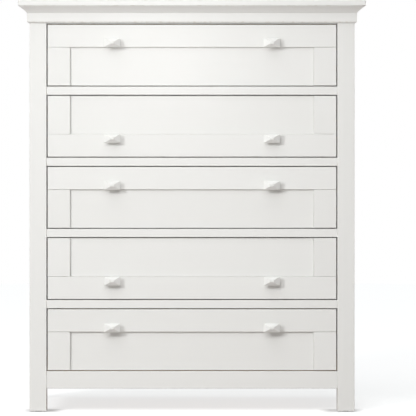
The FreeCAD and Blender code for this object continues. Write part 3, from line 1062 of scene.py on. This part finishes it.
@dataclass
class Knob:
    """A knob with a waisted stem, an upright rim and four hollowed facets round a small flat."""

    shop: Workshop
    stem: float = 0.014
    rim: float = 0.003
    ridge_arris: float = 0.0005
    facet: Steps = ((0.0036, 0.70), (0.0072, 0.44), (0.0098, 0.285), (0.0105, 0.25))
    waist: Steps = ((0.0025, 0.80), (0.0055, 0.62), (0.0095, 0.53), (0.0125, 0.52), (0.0140, 0.56))

    def pattern(self) -> Object:
        """Makes one knob round the origin, with its foot in the plane y = 0.

        Returns:
            The knob, facing -Y.
        """
        bench = self.shop.bench
        low, high = solids_of("drawer_1_knobs")[0]
        width, height = high.x - low.x, high.z - low.z
        back, front = -self.stem, -self.stem - self.rim
        knob = bench.block("knob", (-width / 2, front, -height / 2), (width / 2, back, height / 2))
        self._draw(knob, -1, front, self.facet)
        self._draw(knob, 1, back, self.waist)
        bench.ease(knob, self.ridge_arris, segments=3, sharper_than=24.0)
        bench.smooth(knob, angle=32.0)
        return knob

    def _draw(self, knob: Object, way: int, start: float, steps: Steps) -> None:
        """Draws the front or the back face out in steps.

        Args:
            knob: the knob.
            way: -1 to draw the front face and 1 to draw the back face.
            start: where that face lies.
            steps: how far out each step ends, and its size against the rim's.
        """
        bench = self.shop.bench
        bench.edit(knob, Pick.FACE, lambda middle, normal: normal.y * way > FACING)
        reached, size = 0.0, 1.0
        for distance, scale in steps:
            place = (0.0, start + way * distance, 0.0)
            bench.pull((0, way * (distance - reached), 0), (scale / size, 1, scale / size), place)
            reached, size = distance, scale
        bench.close()

    def fit(self, drawers: Sequence[int]) -> None:
        """Puts two knobs on each drawer.

        Args:
            drawers: the drawers' numbers.
        """
        knob = self.pattern()
        for number in drawers:
            node = f"drawer_{number}_knobs"
            for hand, (low, high) in zip(Hand, solids_of(node)):
                middle = (low + high) / 2
                place = Matrix.Translation((middle.x, high.y, middle.z))
                name = f"drawer_{number}_knob_{hand.name.lower()}"
                piece = self.shop.bench.copy(knob, name, place)
                self.shop.hang(piece, f"drawer_{number}", KNOB_PAINT, Axis.X, [node])
        bpy.data.objects.remove(knob)


@dataclass
class Drawer:
    """One drawer: its framed front, its dovetailed box and its bottom."""

    shop: Workshop
    number: int
    front_arris: float = 0.00035
    quirk: float = 0.0010
    shaded_quirk: float = 0.0005
    quirk_walls: tuple[float, ...] = (0.0, 0.2, 0.8, 1.0)
    quirk_depth: float = 1.6
    hairline: float = 0.0006
    box_arris: float = 0.0002

    def build(self) -> None:
        """Makes the boards of the drawer."""
        name = body = f"drawer_{self.number}"
        boards = self.shop.boards
        parts = [f"{name}_{part}" for part in ("stile_left", "rail", "stile_right")]
        boards(f"{name}_front_frame", body, PAINT, parts, self.front_arris, self._open_joint)
        parts = [f"{name}_panel"]
        boards(f"{name}_front_panel", body, PAINT, parts, self.front_arris, self._quirk_panel)
        box = ("side_left", "inner_front", "box_back", "side_right")
        parts = [f"{name}_{part}" for part in box]
        boards(f"{name}_box", body, BOX_WOOD, parts, self.box_arris)
        boards(f"{name}_bottom", body, PLYWOOD, [f"{name}_plywood"], 0.0)

    def _joint(self) -> tuple[float, int]:
        """Finds where the rail of the front meets the stiles.

        Returns:
            The height of the joint, and 1 if the stiles are above it or -1 if they are below.
        """
        left, rail, _ = solids_of(f"drawer_{self.number}_front_frame")
        above = rail[0].z > left[0].z
        return (rail[0].z, -1) if above else (rail[1].z, 1)

    def _open_joint(self, board: Object) -> None:
        """Draws a stile's shoulder back by a hair, so that the joint shows as a fine line.

        Args:
            board: a stile, or the rail, which is left as it is.
        """
        if "stile" not in board.name:
            return
        height, way = self._joint()
        self.shop.bench.edit(
            board, Pick.EDGE, lambda a, b: all(abs(c.z - height) < NEAR for c in (a, b))
        )
        bpy.ops.transform.translate(value=(0, 0, way * self.hairline))
        self.shop.bench.close()

    def _quirk_panel(self, panel: Object) -> None:
        """Cuts a fine quirk into the panel's face where it meets the rail and the stiles.

        It is narrower under a rail, where the rail's shadow draws the line already.

        Args:
            panel: the panel.
        """
        bench = self.shop.bench
        front = corners_of(panel)[0].y
        left, _, right = solids_of(f"drawer_{self.number}_front_frame")
        for axis, edge, way in ((0, left[1].x, 1), (0, right[0].x, -1), (2, *self._joint())):
            normal = tuple(float(i == axis) for i in range(3))
            width = self.shaded_quirk if axis == 2 and way < 0 else self.quirk
            walls = [edge + way * width * part for part in self.quirk_walls]
            for wall in walls:
                bench.edit(panel, Pick.FACE, lambda middle, normal: True)
                bpy.ops.mesh.bisect(plane_co=tuple(wall * n for n in normal), plane_no=normal)
                bench.close()
            low, high = sorted(walls[1:3])
            bench.edit(
                panel,
                Pick.EDGE,
                lambda a, b: all(
                    low - EXACT < c[axis] < high + EXACT and c.y < front + NEAR for c in (a, b)
                ),
            )
            bpy.ops.transform.translate(value=(0, width * self.quirk_depth, 0))
            bench.close()


@dataclass
class Runner:
    """The ball-bearing runners: three rolled channels on each side of a drawer, and their balls."""

    shop: Workshop
    sheet: float = 0.0012
    bend: float = 0.0022
    slot_length: float = 0.011
    slot_width: float = 0.0045
    slot_places: tuple[float, ...] = (0.075, 0.125, 0.19, 0.25, 0.30)
    slot_reach: float = 0.004
    slot_rounding: float = 0.49
    sheet_arris: float = 0.00015
    ball_pitch: float = 0.0125
    ball_count: int = 11
    ball_fit: float = 0.94
    strip_thickness: float = 0.0006
    strip_width: float = 1.15
    strip_margin: float = 0.7
    strip_rounding: float = 0.8
    row_angle: float = 50.0
    case_race_start: float = 0.06
    drawer_race_start: float = -0.175

    def channel(self, node: str, opens: int) -> Object:
        """Rolls the left-hand channel of a node of drawer 1.

        Args:
            node: the node that gives its size and place.
            opens: 1 if its open side faces +X, and -1 if it faces -X.

        Returns:
            The channel.
        """
        bench = self.shop.bench
        low, high = self._left_side(node)
        channel = bench.block("channel", low, high)
        bench.edit(
            channel,
            Pick.FACE,
            lambda middle, normal: normal.x * opens > FACING or abs(normal.y) > FACING,
        )
        bpy.ops.mesh.delete(type="FACE")
        bench.close()
        web_x = low.x if opens > 0 else high.x

        def along_web(a: Vector, b: Vector) -> bool:
            """Whether an edge of the web runs from front to back."""
            return max(abs(a.x - web_x), abs(b.x - web_x)) < EXACT and abs(a.y - b.y) > NEAR

        bench.bevel(channel, self.bend, segments=4, rule=along_web)
        bench.modify(channel, "SOLIDIFY", thickness=self.sheet, offset=-1.0)
        for place in self.slot_places:
            bench.cut(channel, self._slot(web_x, low.y + place, (low.z + high.z) / 2))
        bench.ease(channel, self.sheet_arris, segments=1, sharper_than=50.0)
        bench.smooth(channel, angle=40.0)
        return channel

    def _left_side(self, node: str) -> tuple[Vector, Vector]:
        """The lowest and highest corner of drawer 1's left-hand solid in a node."""
        return max((b for b in solids_of(node) if b[1].x < 0), key=lambda b: b[0].z)

    def _slot(self, x: float, y: float, z: float) -> Object:
        """A cutter for one fixing slot through a web.

        Args:
            x: where the web is.
            y: the slot's middle.
            z: the slot's height.

        Returns:
            The cutter.
        """
        bench, middle = self.shop.bench, Vector((x, y, z))
        half = Vector((self.slot_reach, self.slot_length / 2, self.slot_width / 2))
        cutter = bench.block("slot", middle - half, middle + half)
        bench.bevel(
            cutter,
            self.slot_width * self.slot_rounding,
            segments=4,
            rule=lambda a, b: abs(a.x - b.x) > self.slot_reach,
        )
        return cutter

    def _row(self, x: float, y: float, z: float, radius: float) -> Object:
        """A strip of steel with a row of balls in it.

        Args:
            x: the balls' middle.
            y: the first ball.
            z: the balls' height.
            radius: the balls' radius.

        Returns:
            The strip and its balls.
        """
        bench = self.shop.bench
        length = self.ball_pitch * (self.ball_count - 1)
        half = Vector((radius * self.strip_width, 0, self.strip_thickness / 2))
        margin = Vector((0, self.ball_pitch * self.strip_margin, 0))
        start, end = Vector((x, y, z)), Vector((x, y + length, z))
        strip = bench.block("strip", start - half - margin, end + half + margin)
        rounding = radius * self.strip_rounding
        bench.bevel(strip, rounding, segments=3, rule=lambda a, b: abs(a.z - b.z) > NEAR)
        size = {"segments": 10, "ring_count": 7, "radius": radius}
        places = [(x, y + i * self.ball_pitch, z) for i in range(self.ball_count)]
        balls = [bench.add("uv_sphere", "ball", location=place, **size) for place in places]
        row = bench.join([strip, *balls], "row")
        bench.only(row)
        bpy.ops.object.shade_smooth_by_angle(angle=math.radians(self.row_angle))
        return row

    def fit(self, drawers: Sequence[int]) -> None:
        """Puts a pair of runners at each drawer.

        Args:
            drawers: the drawers' numbers.
        """
        kinds = (
            ("case", "case", "runner_case_members", 1),
            ("middle", "runner_{}_middle", "runner_{}_middle_members", 1),
            ("drawer", "drawer_{}", "drawer_{}_runner_members", -1),
        )
        pairs = []
        for _, _, node, opens in kinds:
            left = self.channel(node.format(1), opens)
            pairs.append([left, self.shop.bench.mirror(left, "right")])
        cages = self._cages()
        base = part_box("drawer_1_runner_members")[0].z
        for number in drawers:
            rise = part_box(f"drawer_{number}_runner_members")[0].z - base
            move = Matrix.Translation((0, 0, rise))
            for (kind, body, node, _), pair in zip(kinds, pairs):
                for hand, pattern in zip(Hand, pair):
                    name = f"runner_{number}_{kind}_channel_{hand.name.lower()}"
                    piece = self.shop.bench.copy(pattern, name, move)
                    nodes = [node.format(number)]
                    self.shop.hang(piece, body.format(number), RUNNER_STEEL, Axis.Y, nodes)
            for hand, pattern in zip(Hand, cages):
                name = f"runner_{number}_ball_cage_{hand.name.lower()}"
                piece = self.shop.bench.copy(pattern, name, move)
                self.shop.hang(piece, f"runner_{number}_middle", BALL_STEEL, Axis.Y)
        for pattern in sum(pairs, cages):
            bpy.data.objects.remove(pattern)

    def _cages(self) -> list[Object]:
        """Makes the left and right ball cages of drawer 1, two rows outside and two inside.

        Returns:
            The left one, then the right one.
        """
        bench = self.shop.bench
        case = self._left_side("runner_case_members")
        middle = self._left_side("runner_1_middle_members")
        drawer = self._left_side("drawer_1_runner_members")
        centre = (middle[0].z + middle[1].z) / 2
        rows = []
        races = (
            (case, middle, middle[0].x, case[1].x, self.case_race_start),
            (middle, drawer, drawer[0].x, middle[1].x, self.drawer_race_start),
        )
        for outside, inside, near, far, start in races:
            outer, inner = outside[1].z - self.sheet, inside[1].z
            radius = (outer - inner) / 2 * self.ball_fit
            for way in (-1, 1):
                height = centre + way * ((outer + inner) / 2 - centre)
                rows.append(self._row((near + far) / 2, start, height, radius))
        left = bench.join(rows, "cage_left")
        return [left, bench.mirror(left, "cage_right")]


@dataclass(frozen=True)
class ScrewPlace:
    """Where one screw is: the seat of its head, the way its point goes, and its sizes."""

    seat: Vector
    way: Vector
    length: float
    head_radius: float
    head_height: float
    shank_radius: float


@dataclass
class Screws:
    """Pan-head screws with a cross recess."""

    shop: Workshop
    recess_width: float = 0.24
    recess_reach: float = 0.62
    recess_depth: float = 0.6
    recess_taper: float = 0.6
    recess_top: float = 1.4
    head_rim: float = 0.45
    head_steps: Steps = ((0.30, 0.90), (0.17, 0.80), (0.08, 0.72))
    rim_band: float = 0.97
    shank_overlap: float = 0.1
    point: float = 0.5
    patterns: dict[tuple[float, ...], Object] = field(default_factory=dict)

    def fit(self, node: str, body: str, name: str) -> None:
        """Replaces the plain screws of a node.

        Args:
            node: the node.
            body: the body that they move with.
            name: the name of the joined piece.
        """
        bench = self.shop.bench
        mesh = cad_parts[node].data
        places = [self._read(points_of(mesh, *shell)) for shell in shells_of(mesh)]
        screws = []
        for place in places:
            turn = place.way.to_track_quat("-Z", "Y").to_matrix().to_4x4()
            spin = Matrix.Rotation(self.shop.chance.uniform(0, math.tau), 4, "Z")
            move = Matrix.Translation(place.seat) @ turn @ spin
            screws.append(bench.copy(self._pattern(place), "screw", move))
        self.shop.hang(bench.join(screws, name), body, SCREW_STEEL, Axis.Z, [node])

    def clear(self) -> None:
        """Removes the patterns."""
        for pattern in self.patterns.values():
            bpy.data.objects.remove(pattern)

    def _read(self, points: list[Vector]) -> ScrewPlace:
        """Reads a screw's place and sizes from the corners of its solid.

        Args:
            points: the corners of one plain screw.

        Returns:
            What it measures.
        """
        low, high = extent(points)
        middle, sides = (low + high) / 2, list(high - low)
        axis = sides.index(max(sides))

        def off_axis(point: Vector) -> float:
            """How far a point is from the screw's axis."""
            return math.hypot(*(point[i] - middle[i] for i in range(3) if i != axis))

        def radius_at(value: float) -> float:
            """The screw's radius at a place along its axis."""
            return max(off_axis(p) for p in points if abs(p[axis] - value) < NEAR)

        head_low = radius_at(low[axis]) > radius_at(high[axis])
        crown, tip = (low[axis], high[axis]) if head_low else (high[axis], low[axis])
        widest = max(off_axis(p) for p in points)
        rim = [p[axis] for p in points if off_axis(p) > widest * self.rim_band]
        seat, way = middle.copy(), Vector()
        seat[axis] = max(rim, key=lambda value: abs(value - crown))
        way[axis] = 1.0 if head_low else -1.0
        length, height = abs(tip - seat[axis]), abs(crown - seat[axis])
        return ScrewPlace(seat, way, length, widest, height, radius_at(tip))

    def _pattern(self, place: ScrewPlace) -> Object:
        """A screw of one size, with its seat at the origin and its head towards +Z.

        Args:
            place: gives the size.

        Returns:
            The pattern, made now or earlier.
        """
        sizes = (place.length, place.head_radius, place.head_height, place.shank_radius)
        key = tuple(round(s, 5) for s in sizes)
        if key not in self.patterns:
            self.patterns[key] = self._make(*sizes)
        return self.patterns[key]

    def _make(
        self, length: float, head_radius: float, head_height: float, shank_radius: float
    ) -> Object:
        """Models one screw.

        Args:
            length: from its seat to its tip.
            head_radius: its head's radius.
            head_height: its head's height.
            shank_radius: its shank's radius.

        Returns:
            The screw.
        """
        bench = self.shop.bench
        head = bench.rod("head", (0, 0, 0), head_height * self.head_rim, head_radius, sides=24)
        bench.edit(head, Pick.FACE, lambda middle, normal: normal.z > FACING)
        for rise, scale in self.head_steps:
            bench.pull((0, 0, head_height * rise), (scale, scale, 1), (0, 0, 0))
        bench.close()
        reach, half = head_radius * self.recess_reach, head_radius * self.recess_width / 2
        floor = head_height * (1 - self.recess_depth)
        for x, y in ((reach, half), (half, reach)):
            cutter = bench.block("recess", (-x, -y, floor), (x, y, head_height * self.recess_top))
            bench.edit(cutter, Pick.FACE, lambda middle, normal: normal.z < -FACING)
            taper = (self.recess_taper, self.recess_taper, 1.0)
            bpy.ops.transform.resize(value=taper, center_override=(0, 0, floor))
            bench.close()
            bench.cut(head, cutter)
        whole = length + head_height * self.shank_overlap
        shank = bench.rod("shank", (0, 0, -length), whole, shank_radius, sides=10)
        bench.edit(shank, Pick.FACE, lambda middle, normal: normal.z < -FACING)
        bench.pull((0, 0, 0), (self.point, self.point, 1), (0, 0, 0))
        bench.close()
        screw = bench.join([head, shank], "screw_pattern")
        bench.smooth(screw, angle=30.0)
        return screw


@dataclass
class Glides:
    """The nylon glides under the legs, rounded where they meet the floor."""

    shop: Workshop
    node: str = "floor_glides"
    rounding: float = 0.0009
    sides: int = 40

    def fit(self) -> None:
        """Makes a glide for each leg."""
        bench = self.shop.bench
        names = ("rear_left", "front_left", "front_right", "rear_right")
        for (low, high), name in zip(solids_of(self.node), names):
            size, middle = high - low, (low + high) / 2
            start = (middle.x, middle.y, low.z)
            glide = bench.rod(f"glide_{name}", start, size.z, size.x / 2, self.sides)
            bench.bevel(
                glide, self.rounding, segments=3, rule=lambda a, b: max(a.z, b.z) < size.z / 2
            )
            bench.smooth(glide, angle=35.0)
            self.shop.hang(glide, "case", NYLON, Axis.Z, [self.node])


# ---- studio


@dataclass
class Softbox:
    """A rectangular soft light that the camera doesn't see."""

    name: str
    place: tuple[float, float, float]
    target: tuple[float, float, float]
    width: float
    height: float
    power: float
    spares_floor: bool = False

    def build(self, floor: Object) -> None:
        """Hangs the light.

        Args:
            floor: the studio's floor, which a light that spares it leaves unlit.
        """
        bpy.ops.object.light_add(type="AREA", location=self.place)
        lamp = bpy.context.object
        lamp.name = self.name
        lamp.data.shape = "RECTANGLE"
        lamp.data.size = self.width
        lamp.data.size_y = self.height
        lamp.data.energy = self.power
        lamp.rotation_mode = "QUATERNION"
        aim = Vector(self.target) - Vector(self.place)
        lamp.rotation_quaternion = aim.to_track_quat("-Z", "Y")
        lamp.visible_camera = False
        if self.spares_floor:
            spared = bpy.data.collections.new(f"{self.name}_spared")
            spared.objects.link(floor)
            spared.collection_objects[0].light_linking.link_state = "EXCLUDE"
            lamp.light_linking.receiver_collection = spared


@dataclass
class Studio:
    """The pale floor, the soft lights, the white surround and the camera."""

    shop: Workshop
    floor_radius: float = 7.0
    floor_sides: int = 96
    floor_rim: float = 0.4
    surround: float = 0.2
    overhead_strength: float = 1.15
    overhead_angle: float = 50.0
    overhead_turn: tuple[float, float, float] = (30.0, -14.0, 0.0)
    overhead_height: float = 4.0
    frame_width: float = 1.2185
    floor_line: float = 0.9900
    distance: float = 8.5
    shift: tuple[float, float] = (0.0385, -0.184)
    sensor: float = 36.0
    far_clip: float = 100.0
    boxes: tuple[Softbox, ...] = (
        Softbox("front_softbox", (-0.3, -4.6, 3.4), (0.0, -0.2, 0.7), 3.0, 1.6, 33.0),
        Softbox("near_softbox", (-0.12, -1.35, 1.08), (0.0, -0.22, 0.85), 0.4, 0.4, 2.6),
        Softbox("left_softbox", (-3.1, -3.9, 2.35), (0.0, -0.2, 0.75), 0.6, 1.0, 102.5),
        Softbox("rear_softbox", (3.7, 3.4, 2.4), (0.0, 0.0, 0.6), 2.5, 2.0, 240.0, True),
    )

    def build(self) -> None:
        """Sets the whole studio up."""
        floor = self._floor()
        self._surround()
        self._overhead()
        for box in self.boxes:
            box.build(floor)
        self._camera()

    def _floor(self) -> Object:
        """Lays a round, flat floor with a ring inset at its rim.

        Returns:
            The floor.
        """
        bench = self.shop.bench
        size = {"vertices": self.floor_sides, "radius": self.floor_radius}
        floor = bench.add("circle", "studio_floor", fill_type="NGON", location=(0, 0, 0), **size)
        bench.edit(floor, Pick.FACE, lambda middle, normal: True)
        bpy.ops.mesh.inset(thickness=self.floor_rim)
        bench.close()
        floor.data.materials.append(self.shop.shelf.get(FLOOR, Axis.X))
        return floor

    def _surround(self) -> None:
        """Makes the surround white behind the chest and softer as a light."""
        world = bpy.data.worlds.new("surround")
        bpy.context.scene.world = world
        world.use_nodes = True
        tree = world.node_tree
        tree.nodes.clear()
        kinds = ("OutputWorld", "MixShader", "LightPath", "Background", "Background")
        output, mix, path, glow, backdrop = (tree.nodes.new("ShaderNode" + kind) for kind in kinds)
        glow.inputs["Strength"].default_value = self.surround
        for light in (glow, backdrop):
            light.inputs["Color"].default_value = (1.0, 1.0, 1.0, 1.0)
        parts = (path.outputs["Is Camera Ray"], glow.outputs[0], backdrop.outputs[0])
        for socket, part in zip(mix.inputs, parts):
            tree.links.new(part, socket)
        tree.links.new(mix.outputs[0], output.inputs["Surface"])

    def _overhead(self) -> None:
        """Lights the floor evenly from above."""
        bpy.ops.object.light_add(type="SUN", location=(0, 0, self.overhead_height))
        lamp = bpy.context.object
        lamp.name = "overhead_light"
        lamp.data.energy = self.overhead_strength
        lamp.data.angle = math.radians(self.overhead_angle)
        lamp.rotation_euler = tuple(math.radians(turn) for turn in self.overhead_turn)

    def _camera(self) -> None:
        """Sets the camera square to the front, low and far back with a long lens."""
        face_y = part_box("front_leg_left")[0].y
        rise = (self.floor_line - 0.5 - self.shift[1]) * self.frame_width
        place = (0.0, face_y - self.distance, rise)
        bpy.ops.object.camera_add(location=place, rotation=(math.pi / 2, 0.0, 0.0))
        camera = bpy.context.object
        camera.name = "camera"
        camera.data.sensor_width = self.sensor
        camera.data.lens = self.sensor * self.distance / self.frame_width
        camera.data.shift_x, camera.data.shift_y = self.shift
        camera.data.clip_end = self.far_clip
        bpy.context.scene.camera = camera
        bpy.context.scene.view_settings.view_transform = "Standard"


def main() -> None:
    """Builds the chest piece by piece, then the studio."""
    logging.basicConfig(level=logging.INFO, format="%(name)s: %(message)s")
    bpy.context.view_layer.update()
    drawers = range(1, 6)
    shop = Workshop()
    shop.bench.only(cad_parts["top_board"])
    Carcass(shop).build()
    for number in drawers:
        Drawer(shop, number).build()
    Knob(shop).fit(drawers)
    Runner(shop).fit(drawers)
    screws = Screws(shop)
    screws.fit("case_screws", "case", "case_pan_head_screws")
    for number in drawers:
        body = f"drawer_{number}"
        screws.fit(f"{body}_screws", body, f"{body}_pan_head_screws")
    screws.clear()
    Glides(shop).fit()
    Studio(shop).build()
    LOG.info("%d pieces", shop.made)


if __name__ == "__main__":
    main()
